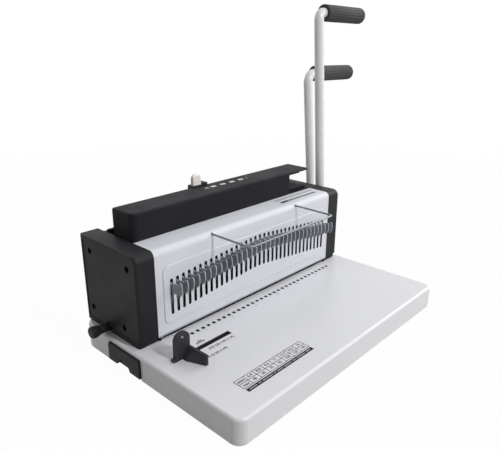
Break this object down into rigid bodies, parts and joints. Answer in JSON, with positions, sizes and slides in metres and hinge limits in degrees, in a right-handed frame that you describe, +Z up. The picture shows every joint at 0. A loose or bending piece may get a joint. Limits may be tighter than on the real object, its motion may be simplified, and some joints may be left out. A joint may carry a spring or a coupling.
{
  "type": "wire binding machine",
  "caption": "Desk machine that punches a row of holes in paper with a tall lever and closes binding wire with a short lever, on a flat base with a paper guide.",
  "frame": {"origin": "middle of the part's bounding box in plan, on the surface it stands on", "axes": "+X along the row of punched holes towards the two levers, +Y from the operator towards the rear, +Z up"},
  "size_m": [0.5377, 0.265, 0.3985],
  "materials": {
    "deck_paint": "smooth semi-gloss pale grey moulding",
    "panel_paint": "smooth light grey-white powder coat",
    "rear_paint": "light grey powder coat",
    "cover_black": "fine-grained black moulding",
    "hood_black": "satin black powder coat",
    "tray_black": "plain black moulding",
    "lever_paint": "light grey enamel",
    "grip_rubber": "fluted dark grey soft rubber",
    "foot_rubber": "black rubber",
    "knob_white": "white moulding",
    "hook_steel": "stamped bright steel",
    "tool_steel": "ground tool steel",
    "frame_steel": "plain rolled steel",
    "frame_paint": "plain black enamel on steel",
    "zinc_plate": "zinc-plated steel",
    "screw_steel": "zinc-plated screw steel",
    "spring_steel": "oil-tempered spring wire",
    "rack_chrome": "bright chromium-plated wire",
    "bush_bronze": "sintered bronze"
  },
  "bodies": {
    "base": {"base_shell": "deck_paint", "base_plate": "zinc_plate", "rubber_feet": "foot_rubber", "base_screws": "screw_steel", "side_frame_left": "frame_paint", "side_frame_right": "frame_paint", "frame_screws": "screw_steel", "tie_rods": "zinc_plate", "die_plate": "tool_steel", "pin_guide": "tool_steel", "throat_spacers": "tool_steel", "die_bolts": "screw_steel", "guide_posts": "tool_steel", "post_bar": "frame_steel", "punch_bushes": "bush_bronze", "closing_bushes": "bush_bronze", "return_springs": "spring_steel", "press_gibs": "cover_black", "closing_anvil": "zinc_plate", "front_panel": "panel_paint", "left_end_cover": "cover_black", "right_end_cover": "cover_black", "cover_screws": "screw_steel", "rear_cover": "rear_paint", "top_hood": "hood_black", "hood_screws": "screw_steel", "rack_guides": "cover_black"},
    "ram": {"pressure_bar": "frame_steel", "punch_pins": "tool_steel", "release_hooks": "hook_steel", "ram_lugs": "frame_steel", "ram_yokes": "frame_steel"},
    "punch_lever": {"punch_shaft": "tool_steel", "punch_cranks": "frame_steel", "punch_rollers": "tool_steel", "punch_hub": "lever_paint", "punch_hub_screw": "screw_steel", "punch_handle_tube": "lever_paint", "punch_grip": "grip_rubber"},
    "closing_lever": {"closing_shaft": "tool_steel", "closing_cranks": "frame_steel", "closing_rollers": "tool_steel", "closing_spacer": "cover_black", "closing_hub": "lever_paint", "closing_hub_screw": "screw_steel", "closing_handle_tube": "lever_paint", "closing_grip": "grip_rubber"},
    "press": {"press_bar": "frame_paint", "press_web": "frame_paint"},
    "slider": {"size_slider": "cover_black", "size_knob": "knob_white", "size_stop": "zinc_plate"},
    "rack": {"wire_rack": "rack_chrome"},
    "margin": {"margin_shaft": "zinc_plate", "margin_knob": "cover_black"},
    "stop": {"depth_stop": "zinc_plate"},
    "guide": {"edge_guide": "cover_black", "guide_shoe": "zinc_plate"},
    "tray": {"chip_tray": "tray_black", "tray_face": "cover_black"}
  },
  "joints": [
    {"name": "punch_lever_turn", "type": "hinge", "parent": "base", "child": "punch_lever", "pos_m": [-0.06189, 0.0655, 0.0937], "axis": [1, 0, 0], "range_deg": [0, 75], "stiffness_Nm_per_rad": 0.7, "springref_deg": -34.38},
    {"name": "ram_slide", "type": "slide", "parent": "base", "child": "ram", "axis": [0, 0, -1], "range_m": [0, 0.022]},
    {"name": "closing_lever_turn", "type": "hinge", "parent": "base", "child": "closing_lever", "pos_m": [-0.06189, 0.0989, 0.0937], "axis": [1, 0, 0], "range_deg": [0, 50], "stiffness_Nm_per_rad": 0.5, "springref_deg": -34.38},
    {"name": "press_slide", "type": "slide", "parent": "base", "child": "press", "axis": [0, 0, 1], "range_m": [0, 0.012]},
    {"name": "size_slide", "type": "slide", "parent": "base", "child": "slider", "axis": [1, 0, 0], "range_m": [0, 0.072]},
    {"name": "rack_slide", "type": "slide", "parent": "base", "child": "rack", "axis": [0, 1, 0], "range_m": [0, 0.05]},
    {"name": "margin_turn", "type": "hinge", "parent": "base", "child": "margin", "pos_m": [-0.21189, 0.084, 0.0392], "axis": [-1, 0, 0], "range_deg": [0, 180]},
    {"name": "stop_slide", "type": "slide", "parent": "base", "child": "stop", "axis": [0, 1, 0], "range_m": [0, 0.004]},
    {"name": "guide_slide", "type": "slide", "parent": "base", "child": "guide", "axis": [1, 0, 0], "range_m": [0, 0.058]},
    {"name": "tray_slide", "type": "slide", "parent": "base", "child": "tray", "axis": [-1, 0, 0], "range_m": [0, 0.3]}
  ],
  "couplings": [
    {"joint": "ram_slide", "follows": "punch_lever_turn", "m_per_rad": 0.016807},
    {"joint": "press_slide", "follows": "closing_lever_turn", "m_per_rad": 0.013751},
    {"joint": "margin_turn", "follows": "stop_slide", "rad_per_m": 785.4}
  ]
}
